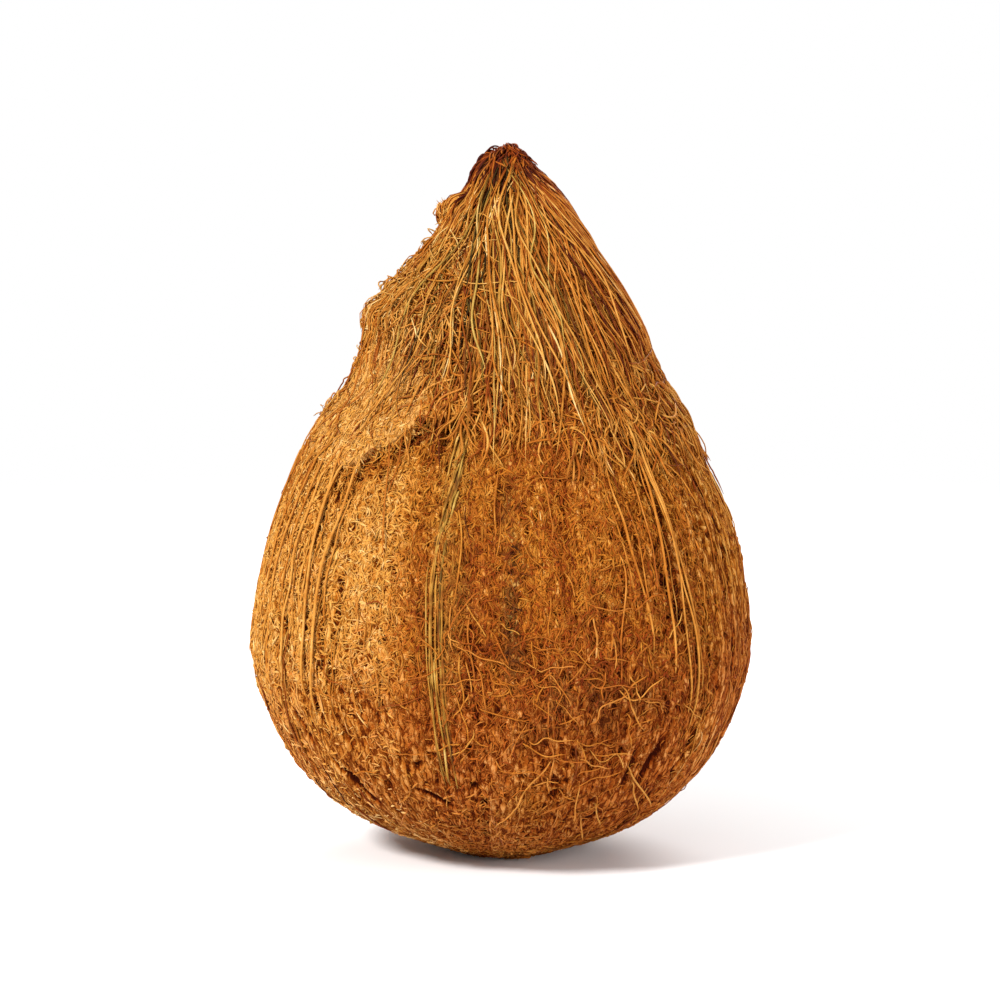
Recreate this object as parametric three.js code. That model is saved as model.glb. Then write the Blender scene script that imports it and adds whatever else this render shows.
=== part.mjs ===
// A semi-husked coconut: the round nut still wears a skin of coir, and the coir
// above it is left long and gathered into a pointed crest, so that the whole
// fruit has the shape of a drop. It is one solid, because the husk grew as one
// piece. Millimetres, +Z up, standing on the small flat spot under the nut, with
// the origin at the middle of its footprint.

import * as THREE from "three";

// ---- driving dimensions ----

const HEIGHT = 163.5; // flat spot to the tip of the crest
const WIDTH = 115; // across the nut at its widest, with its coir skin
const BELLY_HEIGHT = 52; // where the nut is widest
const FLAT_SPOT = 26; // across the flat that the fruit stands on
const CREST_ROOT_HEIGHT = 102.5; // where the long coir of the crest parts from the skin
const CREST_ROOT_WIDTH = 83; // across the fruit at that height

const SIDES = 84; // facets round the fruit
const RINGS = 54; // rings from the flat spot to the tip

// Coconuts grow from three carpels, so the section is very slightly three-cornered.
const CORNERS = 3;
const CORNER_SHARE = 0.009; // of the radius
const CORNER_AZIMUTH = 80; // degrees from +X

// Hollows and swellings of the torn husk. Each is a soft spot on the skin: its
// height, its azimuth from +X in degrees, how tall and how wide it is, and how
// far it stands out (or in, when negative).
const SPOTS = [
  { height: 152, azimuth: 180, tall: 3, wide: 40, out: -2.2 }, // coir torn off near the tip
  { height: 143, azimuth: 180, tall: 4.5, wide: 42, out: -3.2 }, // nick below that
  { height: 129, azimuth: 185, tall: 5.5, wide: 34, out: 1.4 }, // ledge under the nick
  { height: 111, azimuth: 180, tall: 7, wide: 40, out: -2.0 }, // waist of the felted cap
  { height: 93, azimuth: 190, tall: 6, wide: 45, out: 0.9 }, // foot of the felted cap
  { height: 104, azimuth: 262, tall: 6, wide: 26, out: 1.0 }, // fringe over the front
  { height: 60, azimuth: 300, tall: 24, wide: 30, out: -0.7 }, // flatter right front
  { height: 44, azimuth: 215, tall: 20, wide: 28, out: 0.6 }, // fuller left front
  { height: 138, azimuth: 60, tall: 6, wide: 38, out: -2.1 }, // smaller tear at the back
  { height: 118, azimuth: 95, tall: 8, wide: 36, out: 1.2 }, // coir left thick at the back
  { height: 70, azimuth: 40, tall: 20, wide: 30, out: 0.8 }, // back of the nut
  { height: 5, azimuth: 205, tall: 4.5, wide: 45, out: -1.6 }, // pared away under the left
];

// Long shallow waves of the husk's bundles of fibre, strongest round the belly.
const BUNDLE_WAVES = [
  { count: 11, size: 0.22, turn: 0.4 },
  { count: 17, size: 0.16, turn: 2.1 },
];

const radians = THREE.MathUtils.degToRad;

// ---- the outline, as half a section from the flat spot up to the tip ----

function outline() {
  const belly = WIDTH / 2;
  const root = CREST_ROOT_WIDTH / 2;
  const crest = HEIGHT - CREST_ROOT_HEIGHT;
  const curve = new THREE.SplineCurve([
    new THREE.Vector2(FLAT_SPOT / 2, 0),
    new THREE.Vector2(belly * 0.59, BELLY_HEIGHT * 0.165),
    new THREE.Vector2(belly * 0.84, BELLY_HEIGHT * 0.43),
    new THREE.Vector2(belly * 0.975, BELLY_HEIGHT * 0.76),
    new THREE.Vector2(belly * 0.995, BELLY_HEIGHT * 1.04),
    new THREE.Vector2(belly * 0.925, BELLY_HEIGHT * 1.46),
    new THREE.Vector2(root * 1.09, CREST_ROOT_HEIGHT - 8.5),
    new THREE.Vector2(root, CREST_ROOT_HEIGHT),
    new THREE.Vector2(root * 0.8, CREST_ROOT_HEIGHT + crest * 0.29),
    new THREE.Vector2(root * 0.585, CREST_ROOT_HEIGHT + crest * 0.53),
    new THREE.Vector2(root * 0.385, CREST_ROOT_HEIGHT + crest * 0.735),
    new THREE.Vector2(root * 0.2, CREST_ROOT_HEIGHT + crest * 0.885),
    new THREE.Vector2(root * 0.1, CREST_ROOT_HEIGHT + crest * 0.968),
    new THREE.Vector2(0, HEIGHT),
  ]);
  const flat = new THREE.Vector2(FLAT_SPOT / 4, 0);
  const points = [new THREE.Vector2(0, 0), flat, ...curve.getSpacedPoints(RINGS)];
  points[points.length - 1].x = 0;
  return points;
}

// ---- the shape of the torn husk, laid over the turned outline ----

function soft(distance, reach) {
  return Math.exp(-0.5 * (distance / reach) ** 2);
}

function angleBetween(a, b) {
  const turn = THREE.MathUtils.euclideanModulo(a - b + Math.PI, 2 * Math.PI);
  return turn - Math.PI;
}

// How much of the husk's unevenness shows at a radius: none on the flat spot or
// at the very tip, so that the base stays flat and the crest closes in a point.
function strength(radius) {
  const start = FLAT_SPOT / 2;
  const inner = radius < start ? 0 : 1;
  return inner * THREE.MathUtils.smoothstep(radius, start, start + 8);
}

function uneven(radius, height, azimuth) {
  const belly = soft(height - BELLY_HEIGHT, 34);
  const corner = Math.cos(CORNERS * (azimuth - radians(CORNER_AZIMUTH)));
  let out = CORNER_SHARE * radius * corner;
  for (const wave of BUNDLE_WAVES) {
    out += wave.size * belly * Math.cos(wave.count * azimuth + wave.turn);
  }
  out *= strength(radius);
  for (const spot of SPOTS) {
    const across = angleBetween(azimuth, radians(spot.azimuth));
    const near = soft(height - spot.height, spot.tall) * soft(across, radians(spot.wide));
    out += spot.out * near * Math.min(1, radius / 10);
  }
  return out;
}

function reshape(geometry) {
  const place = geometry.getAttribute("position");
  for (let i = 0; i < place.count; i++) {
    const x = place.getX(i);
    const y = place.getY(i);
    const height = place.getZ(i);
    const radius = Math.hypot(x, y);
    if (radius < 1e-6) continue;
    const share = 1 + uneven(radius, height, Math.atan2(y, x)) / radius;
    place.setXYZ(i, x * share, y * share, height);
  }
}

// ---- the fruit ----

function husk() {
  const geometry = new THREE.LatheGeometry(outline(), SIDES);
  geometry.rotateX(Math.PI / 2); // the lathe turns about Y: stand it up on Z
  reshape(geometry);
  geometry.computeBoundingBox();
  const middle = geometry.boundingBox.getCenter(new THREE.Vector3());
  geometry.translate(-middle.x, -middle.y, 0);
  geometry.computeVertexNormals();
  return geometry;
}

const coir = new THREE.MeshStandardMaterial({
  color: 0xa4682a,
  roughness: 0.92,
  metalness: 0,
});

const coconut = new THREE.Mesh(husk(), coir);
coconut.name = "coconut";

const part = new THREE.Group();
part.add(coconut);

export default part;
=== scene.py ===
import math

import bpy
import numpy as np
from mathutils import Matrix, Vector
from mathutils.bvhtree import BVHTree


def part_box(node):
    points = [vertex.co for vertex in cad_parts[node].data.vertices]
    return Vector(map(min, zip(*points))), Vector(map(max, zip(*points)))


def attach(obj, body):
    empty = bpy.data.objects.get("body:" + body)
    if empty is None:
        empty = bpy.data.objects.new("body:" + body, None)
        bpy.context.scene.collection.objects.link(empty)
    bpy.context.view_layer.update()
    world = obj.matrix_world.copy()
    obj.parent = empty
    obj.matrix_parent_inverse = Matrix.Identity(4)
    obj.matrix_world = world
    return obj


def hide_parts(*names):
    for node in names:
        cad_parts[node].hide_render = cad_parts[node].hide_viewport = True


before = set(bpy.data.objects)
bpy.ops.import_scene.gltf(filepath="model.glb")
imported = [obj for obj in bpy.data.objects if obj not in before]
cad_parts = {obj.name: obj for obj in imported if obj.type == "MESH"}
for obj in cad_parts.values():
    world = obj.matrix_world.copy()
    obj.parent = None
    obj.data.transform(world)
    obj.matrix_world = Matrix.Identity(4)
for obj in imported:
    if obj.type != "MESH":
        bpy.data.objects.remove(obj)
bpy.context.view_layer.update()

# The studio camera. It looks at the front of the coconut from a metre away, a little above
# level, with a long lens, so that the fruit stands in the middle of the frame.
MM = 0.001
CAMERA_RISE = 8  # degrees above level
CAMERA_DISTANCE = 1.0
FRAME_WIDTH = 230.9 * MM  # what the frame takes in at the fruit
SENSOR_WIDTH = 36.0

low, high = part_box("coconut")
TALL = high.z - low.z
CAMERA_AIM = Vector((-0.5 * MM, 0, low.z + 0.499 * TALL))


def add_object(name, data):
    piece = bpy.data.objects.new(name, data)
    bpy.context.scene.collection.objects.link(piece)
    return piece


def place_camera():
    data = bpy.data.cameras.new("studio_camera")
    data.sensor_width = SENSOR_WIDTH
    data.lens = SENSOR_WIDTH * CAMERA_DISTANCE / FRAME_WIDTH
    camera = add_object("studio_camera", data)
    rise = math.radians(CAMERA_RISE)
    back = Vector((0, -math.cos(rise), math.sin(rise)))
    camera.location = CAMERA_AIM + back * CAMERA_DISTANCE
    camera.rotation_mode = "QUATERNION"
    camera.rotation_quaternion = (-back).to_track_quat("-Z", "Y")
    bpy.context.scene.camera = camera


place_camera()


# The body felt: pith and short coir matted dry over the shell, left when the husk is torn
# off by hand. It is combed into faint streaks from stem to base, lumpy and crumbly, and
# pitted where crumbs have fallen out.
HEART_SHARE = 0.36  # of the height: the skin is felt for from here, in all directions
SKIN_TURNS = 180
SKIN_LOOKS = 720
SKIN_SHARES = 420
FACET_SMOOTHING = 3
FELT_ROUND = 448
FELT_DOWN = 221
FELT_SINK = 1.0  # mm that the felt lies under the loose coir
FELT_TOP = 113  # mm above the ground, well under the crest's root
FELT_END = 0.994  # share of the way from tip to base


def read_skin():
    """The solid's surface as rows of points from tip to base, and the mean length of a row."""
    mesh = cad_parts["coconut"].data
    solid = BVHTree.FromPolygons([v.co for v in mesh.vertices], [p.vertices for p in mesh.polygons])
    heart = Vector((0, 0, low.z + HEART_SHARE * TALL))
    skin = np.empty((SKIN_TURNS, SKIN_SHARES, 3))
    lengths = np.empty(SKIN_TURNS)
    leans = np.linspace(0, math.pi, SKIN_LOOKS)
    for i in range(SKIN_TURNS):
        turn = 2 * math.pi * i / SKIN_TURNS
        ways = np.sin(leans) * math.sin(turn), -np.sin(leans) * math.cos(turn), np.cos(leans)
        line = np.array([solid.ray_cast(heart, Vector(way))[0][:] for way in zip(*ways)])
        gaps = np.linalg.norm(np.diff(line, axis=0), axis=1)
        along = np.concatenate([[0], np.cumsum(gaps)])
        even = np.linspace(0, along[-1], SKIN_SHARES)
        lengths[i] = along[-1]
        for axis in range(3):
            skin[i, :, axis] = np.interp(even, along, line[:, axis])
    for _ in range(FACET_SMOOTHING):
        skin = (np.roll(skin, 1, 0) + 2 * skin + np.roll(skin, -1, 0)) / 4
        skin[:, 1:-1] = (skin[:, :-2] + 2 * skin[:, 1:-1] + skin[:, 2:]) / 4
    return skin, lengths.mean() / MM


def ease(value, start, end):
    """0 before start, 1 after end, and a smooth rise between them."""
    t = np.clip((value - start) / (end - start), 0, 1)
    return t * t * (3 - 2 * t)


def near(value, middle, reach):
    return np.exp(-0.5 * ((value - middle) / reach) ** 2)


def from_front(turn):
    """A turn in degrees from the front: below 0 on the left, above it on the right."""
    return np.degrees(np.mod(turn + math.pi, 2 * math.pi) - math.pi)


LEFT, RIGHT = -90, 90  # turns from the front
CREST_SINK = 1.8  # mm that the skin lies inside the solid under the crest, to leave room for it
TORN_LEDGES = (  # height of the top, how far the husk stands out under it, and how far down, in mm
    (150.3, 2.7, 5.0), (136.4, 0.8, 2.2), (131.2, 0.9, 2.6), (126.4, 1.9, 6.0),
)


def shape_skin(skin):
    """Sinks the skin under the crest, and cuts the ledges torn out of the left shoulder."""
    turn = np.arange(SKIN_TURNS)[:, None] * 2 * math.pi / SKIN_TURNS
    side, height = from_front(turn), skin[:, :, 2] / MM
    about = turn + math.pi / 2
    depth = 1.2 * np.sin(5 * about) + 0.5 * np.sin(13 * about) - height
    out = sum(
        far * ease(depth + top, 0, 0.9) * (1 - ease(depth + top, 1, tall))
        for top, far, tall in TORN_LEDGES
    )
    out = (out - 1.8 * near(depth, -133.5, 4.5)) * near(side, LEFT, 24)
    out = out - CREST_SINK * ease(height, 98, 112) * (1 - 0.5 * ease(height, 154, 163))
    out = out + 0.7 * near(side, RIGHT, 35) * near(height, 141, 10)
    outward = skin[:, :, :2]
    outward = outward / np.maximum(np.linalg.norm(outward, axis=-1, keepdims=True), MM)
    skin[:, :, :2] += outward * out[..., None] * MM
    skin[:, :, 0] += (0.5 * ease(height, 144, 154) + 0.9 * ease(height, 156, 163)) * MM


skin, MERIDIAN = read_skin()
shape_skin(skin)


def unit(ways):
    return ways / np.maximum(np.linalg.norm(ways, axis=-1, keepdims=True), 1e-12)


def ways_out(surface):
    sideways = np.roll(surface, -1, 0) - np.roll(surface, 1, 0)
    normal = unit(np.cross(np.gradient(surface, axis=1), sideways))
    normal[:, 0] = (0, 0, 1)
    normal[:, -1] = (0, 0, -1)
    return normal


skin_out = ways_out(skin)
skin_height = skin[:, :, 2].mean(0) / MM
skin_radius = np.hypot(skin[:, :, 0], skin[:, :, 1]).mean(0) / MM
skin_share = np.linspace(0, 1, SKIN_SHARES)


def share_at(height):
    """The share of the way from tip to base at a height in millimetres."""
    return np.interp(-np.asarray(height, float), -skin_height, skin_share)


def height_at(share):
    return np.interp(share, skin_share, skin_height)


def look_up(table, turn, share):
    across = np.mod(turn / (2 * math.pi), 1) * SKIN_TURNS
    down = np.clip(share, 0, 1) * (SKIN_SHARES - 1)
    i = np.floor(across).astype(int)
    j = np.minimum(np.floor(down).astype(int), SKIN_SHARES - 2)
    u, v = (across - i)[..., None], (down - j)[..., None]
    i, after = i % SKIN_TURNS, (i + 1) % SKIN_TURNS
    upper = table[i, j] * (1 - u) + table[after, j] * u
    lower = table[i, j + 1] * (1 - u) + table[after, j + 1] * u
    return upper * (1 - v) + lower * v


def on_skin(turn, share, lift):
    """Points that lie lift millimetres over the skin, and the way out of it at each."""
    out = unit(look_up(skin_out, turn, share))
    return look_up(skin, turn, share) + out * (np.asarray(lift) * MM)[..., None], out


def grain(places, size, seed):
    """Smooth random numbers from -1 to 1 whose bumps are about size millimetres wide."""
    at = np.asarray(places) / (size * MM) + seed * 7.31
    cell = np.floor(at).astype(np.int64)
    part = at - cell
    part = part * part * (3 - 2 * part)
    total = 0
    for step in np.ndindex(2, 2, 2):
        spot = cell + step
        mixed = spot[..., 0] * 374761393 + spot[..., 1] * 668265263 + spot[..., 2] * 2147483647
        mixed = (mixed + seed * 1013904223) & 0xFFFFFFFF
        mixed = ((mixed ^ (mixed >> 13)) * 1274126177) & 0xFFFFFFFF
        value = ((mixed ^ (mixed >> 16)) & 0xFFFF) / 32767.5 - 1
        weight = np.where(step, part, 1 - part).prod(-1)
        total = total + weight * value
    return total


def combed(turn, share, stretch=6):
    """Places for a grain that is stretched from stem to base."""
    return np.stack([np.sin(turn) * 57, np.cos(turn) * 57, share * MERIDIAN / stretch], -1) * MM


def flaked(places, size, seed, sharp=3.5):
    """Flat-topped flakes about size millimetres across, 1 on top and 0 in the cracks between."""
    bent = places + 0.35 * size * MM * grain(places, size / 2, seed + 50)[..., None]
    return np.minimum(np.abs(grain(bent, size, seed)) * sharp, 1)


RIM_HEIGHT = 108  # mm, at the front


def rim_height(turn):
    """Height of the rim of the crest's root, which droops on both sides of the front."""
    side = from_front(turn)
    ring = combed(turn, 0 * turn)
    droop = 14 * ease(np.abs(side - 4), 18, 62) - 8 * ease(np.abs(side), 75, 130)
    uneven = 3 * ease(np.abs(side), 70, 110) * grain(ring, 22, 9)
    ragged = 1.6 * grain(ring, 3.5, 4) + 1.1 * grain(ring, 1.3, 5)
    return RIM_HEIGHT - droop + uneven + 2.2 * grain(ring, 9, 3) + ragged


def hollow_under_rim(turn, share):
    """1 in the crumbling hollow that the rim overhangs on the left of the front."""
    ring = combed(turn, share, 1.5)
    depth = rim_height(turn) - height_at(share) + 1.5 * grain(ring, 3, 6)
    side = from_front(turn)
    reach = ease(side, -58, -44) * (1 - ease(side, -20, -4))
    crumbled = 0.75 + 0.8 * grain(ring, 1.8, 7)
    return reach * ease(depth, -0.5, 1.0) * (1 - ease(depth, 2.5, 9.5)) * crumbled


CRACKS = (  # turn and height of the top, then of the bottom, half width and depth in mm
    (-56, 39, -53, 30, 0.5, 1.0), (-49, 46, -46, 38, 0.5, 1.0), (-47, 28, -39, 17, 0.6, 1.4),
    (-60, 60, -57, 53, 0.8, 1.2), (-40.5, 72, -41, 45, 0.5, 1.0), (-46.5, 68, -43.5, 49, 0.5, 0.9),
    (-23, 23.5, -14, 18, 0.5, 1.0), (-7, 63, -7, 46, 0.5, 0.6), (42, 34, 39, 23, 0.5, 1.2),
    (40, 74, 44, 60, 0.5, 1.1), (53, 35, 50, 24, 0.5, 1.1), (68, 76, 66, 42, 0.5, 0.7),
    (34, 34, 33, 22, 0.4, 0.7), (42, 103, 44.6, 58, 0.45, 1.1), (64, 104, 69, 76, 0.5, 0.8),
    (48, 20, 44, 15, 0.5, 0.9), (31, 17, 26, 13, 0.5, 0.9),
    (96, 60, 94, 34, 0.5, 1.0), (110, 34, 108, 20, 0.5, 1.0), (-84, 50, -80, 30, 0.5, 1.0),
    (-110, 44, -112, 24, 0.5, 1.1), (-140, 74, -138, 48, 0.5, 0.9), (-158, 36, -160, 20, 0.5, 1.1),
    (152, 70, 150, 40, 0.5, 1.0), (176, 40, 175, 22, 0.5, 1.1), (130, 50, 131, 30, 0.5, 0.9),
)


def cracked(turn, share):
    """1 in the long cracks that open along the grain as the husk dries, and 0 elsewhere."""
    side, height = from_front(turn), height_at(share)
    radius = np.interp(share, skin_share, skin_radius)
    waver = 0.7 * grain(combed(turn, share, 2), 4, 42)
    deepest = 0 * turn
    for upper_turn, top, lower_turn, bottom, wide, deep in CRACKS:
        down = np.clip((top - height) / (top - bottom), 0, 1)
        off = np.radians(side - upper_turn - down * (lower_turn - upper_turn)) * radius + waver
        closed = ease(height, bottom - 1, bottom + 3) * ease(height, top + 1, top - 3)
        deepest = np.maximum(deepest, deep * near(off, 0, 1.3 * wide) * closed)
    return deepest


def worn(turn, share):
    """1 where the felt is rubbed smooth, down the right side and low all round, and 0 elsewhere."""
    side, height = from_front(turn), height_at(share)
    right = ease(side, 50, 62) * ease(side, 118, 100)
    low = 0.6 * ease(height, 50, 30) * (1 - 0.6 * near(side, 5, 25))
    return np.clip(np.maximum(right, low) + 0.4 * grain(combed(turn, share, 3), 8, 63), 0, 1)


def patchy(turn, share):
    """Paler and darker streaks in the felt, from -1 to 1, some millimetres wide."""
    return 0.7 * grain(combed(turn, share, 4), 6, 25) + 0.5 * grain(combed(turn, share, 9), 2.4, 26)


def body_rise(turn, share):
    """How far the body felt stands over the skin, in millimetres."""
    places = look_up(skin, turn, share)
    lines = combed(turn, share)
    flakes = 0.45 * flaked(combed(turn, share, 2.0), 2.8, 11)
    flakes = flakes + 0.4 * flaked(combed(turn, share, 1.6), 1.7, 12)
    streaks = grain(lines, 1.7, 19)
    lumps = grain(places, 6.5, 13) + 0.7 * grain(places, 2.8, 14)
    crumbs = grain(places, 1.3, 15)
    front = 1 - ease(np.abs(from_front(turn) - 5), 32, 58)
    pits = ease(grain(places, 2.3, 17) + 0.6 * grain(lines, 1.6, 18), 0.62, 1.05)
    under_rim = hollow_under_rim(turn, share)
    plates = 0.5 * flaked(lines, 2.4, 61, 5) + 0.3 * flaked(combed(turn, share, 4), 1.4, 46)
    rubbed = worn(turn, share)
    rise = flakes * (1 - rubbed) + plates * rubbed + 0.2 * streaks * (1 - 0.6 * front)
    rise = rise + (0.2 * lumps + 0.16 * crumbs) * (1 - 0.5 * rubbed)
    rise = rise + 0.4 * grain(combed(turn, share, 8), 4.5, 27) - 1.2 * cracked(turn, share)
    return rise - 0.8 * pits - 1.9 * under_rim - FELT_SINK


def golden_and_lit_left(turn):
    """1 on the left, where the pith has kept its golden colour, and 0 on the other sides. The
    lighter tone that it also gives there is partly painted light, on the side the key light falls
    on.
    """
    side = from_front(turn)
    return ease(side, -8, -38) * ease(side, -150, -110)


def rustiness(turn, share):
    """0 where the pith is golden, as under the crest, to 1 where it has weathered to rust."""
    places = look_up(skin, turn, share)
    weather = ease(height_at(share), 100, 30) - 0.4 * golden_and_lit_left(turn)
    patches = 0.4 * grain(places, 13, 21) + 0.3 * grain(combed(turn, share, 5), 4, 28)
    return np.clip(weather + patches, 0, 1)


STAINS = (  # turn from the front, height, half width and half height, depth
    (2, 92, 1.8, 4, 0.4), (1, 84, 1.4, 4, 0.7), (3, 74, 1.2, 5, 0.9), (1.5, 64, 1.3, 5, 0.9),
    (2.5, 55, 1.5, 4, 0.8), (13, 46, 1.8, 3, 0.9), (21, 47, 2.2, 3, 0.6), (10, 38, 3, 3, 0.4),
    (-13, 58, 1.2, 4, 0.6), (24, 39, 3, 3, 0.4), (31, 45, 4, 3, 0.45), (-9, 70, 1.2, 4, 0.5),
)


def staining(turn, share):
    """How much mould and damp have darkened a place, from 0 to 1."""
    places = look_up(skin, turn, share)
    side, height = from_front(turn), height_at(share)
    spots = sum(
        depth * near(side, middle, wide) * near(height, level, tall)
        for middle, level, wide, tall, depth in STAINS
    )
    elsewhere = 0.8 * ease(grain(places, 10, 23) + 0.4 * grain(places, 4, 24), 0.62, 1.0)
    elsewhere = elsewhere * ease(np.abs(side), 70, 110) * (1 - ease(height, 90, 100))
    broken = 0.75 + 0.5 * grain(places, 1.6, 22)
    return np.clip((spots + elsewhere) * broken, 0, 1)


def shell_mesh(name, points, quads, on_map, numbers):
    """A smooth mesh of four-cornered faces, with a bake map and named numbers at its points."""
    mesh = bpy.data.meshes.new(name)
    mesh.vertices.add(len(points))
    mesh.vertices.foreach_set("co", points.astype(np.float32).ravel())
    mesh.loops.add(quads.size)
    mesh.loops.foreach_set("vertex_index", quads.astype(np.int32).ravel())
    mesh.polygons.add(len(quads))
    mesh.polygons.foreach_set("loop_start", np.arange(0, quads.size, 4, dtype=np.int32))
    mesh.update(calc_edges=True)
    mesh.polygons.foreach_set("use_smooth", np.ones(len(quads), bool))
    layer = mesh.uv_layers.new(name="OFBake", do_init=False)
    layer.uv.foreach_set("vector", on_map.astype(np.float32).ravel())
    for label, values in numbers.items():
        attribute = mesh.attributes.new(label, "FLOAT", "POINT")
        attribute.data.foreach_set("value", np.asarray(values, np.float32).ravel())
    return add_object(name, mesh)


def above_ground(points):
    points[..., 2] = np.maximum(points[..., 2], low.z + 0.02 * MM)
    return points


def pad_mesh(name, turn, share, lift, numbers):
    """A closed pad of felt round the whole fruit, between its first and its last ring."""
    rounds, downs = turn.shape
    points, _ = on_skin(turn, share, lift)
    i, j = np.meshgrid(np.arange(rounds), np.arange(downs - 1), indexing="ij")
    here, after = i * downs + j, (i + 1) % rounds * downs + j
    quads = np.stack([here, here + 1, after + 1, after], -1).reshape(-1, 4)
    u = np.stack([i, i, i + 1, i + 1], -1).reshape(-1, 4) / rounds
    v = np.stack([j, j + 1, j + 1, j], -1).reshape(-1, 4) / (downs - 1)
    strips = np.arange(rounds // 2 - 1)
    lid = np.stack([strips, strips + 1, rounds - 2 - strips, rounds - 1 - strips], -1) * downs
    lid_u = np.stack([strips, strips + 1, strips + 1, strips], -1) / len(strips)
    lid_v = np.tile([0.0, 0.0, 0.008, 0.008], (len(strips), 1))
    quads = np.concatenate([quads, lid[:, ::-1], lid + downs - 1])
    map_u = np.concatenate([u, lid_u, lid_u])
    map_v = np.concatenate([0.01 + 0.98 * v, lid_v, 0.992 + lid_v])
    points = above_ground(points).reshape(-1, 3)
    pad = shell_mesh(name, points, quads, np.stack([map_u, map_v], -1), numbers)
    lines = pad.data.attributes.new("combed", "FLOAT_VECTOR", "POINT")
    lines.data.foreach_set("vector", combed(turn, share, 1).astype(np.float32).ravel())
    return pad


def shade_from_relief(rise):
    """How far each point of a pad stands over those about it, from 0 down in a pit to 1 on a crumb,
    used as painted shade in the pits and painted light on the crumbs.
    """
    beside = np.roll(rise, 2, 0) + np.roll(rise, -2, 0) + np.roll(rise, 2, 1) + np.roll(rise, -2, 1)
    return np.clip(0.45 + 0.9 * (rise - beside / 4) + 0.16 * (rise - rise.mean()), 0, 1)


def make_body_felt():
    turns = np.arange(FELT_ROUND) * 2 * math.pi / FELT_ROUND
    shares = np.linspace(share_at(FELT_TOP), FELT_END, FELT_DOWN)
    turn, share = np.meshgrid(turns, shares, indexing="ij")
    rise = body_rise(turn, share)
    inside = 1 - ease(height_at(share), FELT_TOP - 3, FELT_TOP)
    lift = rise * (1 - ease(share, 0.91, 0.955)) * inside - 4 * (1 - inside)
    # Painted shade: the felt is darkened in the hollow under the rim and down in the cracks. It is
    # also lighter on the left, partly as painted light, darker right at the base, paler where worn,
    # and streaked paler and darker.
    dark = 0.1 * ease(share, 0.9, 0.96) + hollow_under_rim(turn, share) - 0.12 * golden_and_lit_left(turn)
    dark = dark - 0.2 * patchy(turn, share) + 0.9 * cracked(turn, share) - 0.1 * worn(turn, share)
    # The relief numbers paint shade into the pits and light onto the crumbs that stand out.
    numbers = {
        "relief_shade_and_pale": shade_from_relief(rise), "rust": rustiness(turn, share),
        "stain": staining(turn, share), "dark": dark,
    }
    return pad_mesh("body_felt", turn, share, lift, numbers)


def linear(colour):
    """An sRGB hex colour as the linear numbers that a shader takes."""
    parts = [int(colour[i : i + 2], 16) / 255 for i in (1, 3, 5)]
    return (*(p / 12.92 if p <= 0.04045 else ((p + 0.055) / 1.055) ** 2.4 for p in parts), 1.0)


def add_node(tree, kind, links=None, stops=(), out=0, **settings):
    """Adds a node with its settings, input values or links and ramp stops; gives its output."""
    node = tree.nodes.new("ShaderNode" + kind)
    for name, value in settings.items():
        setattr(node, name, value)
    for socket, value in (links or {}).items():
        if isinstance(value, bpy.types.NodeSocket):
            tree.links.new(value, node.inputs[socket])
        else:
            node.inputs[socket].default_value = value
    for number, (place, colour) in enumerate(stops):
        band = node.color_ramp.elements
        stop = band[number] if number < 2 else band.new(place)
        stop.position = place
        stop.color = linear(colour)
    return node.outputs[out]


def new_material(name, roughness, gloss):
    material = bpy.data.materials.new(name)
    material.use_nodes = True
    shader = material.node_tree.nodes["Principled BSDF"]
    shader.inputs["Roughness"].default_value = roughness
    shader.inputs["Specular IOR Level"].default_value = gloss
    return material, material.node_tree, shader


def three_browns(tree, tone, places, browns, second, third):
    """The first brown by tone, turned to the second and then to the third by their shares."""
    ramps = [
        add_node(tree, "ValToRGB", {"Fac": tone}, zip(places, colours), out="Color")
        for colours in browns
    ]
    blend = {"Factor": second, 6: ramps[0], 7: ramps[1]}
    mixed = add_node(tree, "Mix", blend, out=2, data_type="RGBA")
    blend = {"Factor": third, 6: mixed, 7: ramps[2]}
    return add_node(tree, "Mix", blend, out=2, data_type="RGBA")


PALEST = 1.15  # the tone of the palest flakes, at the top of the colours below


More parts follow.
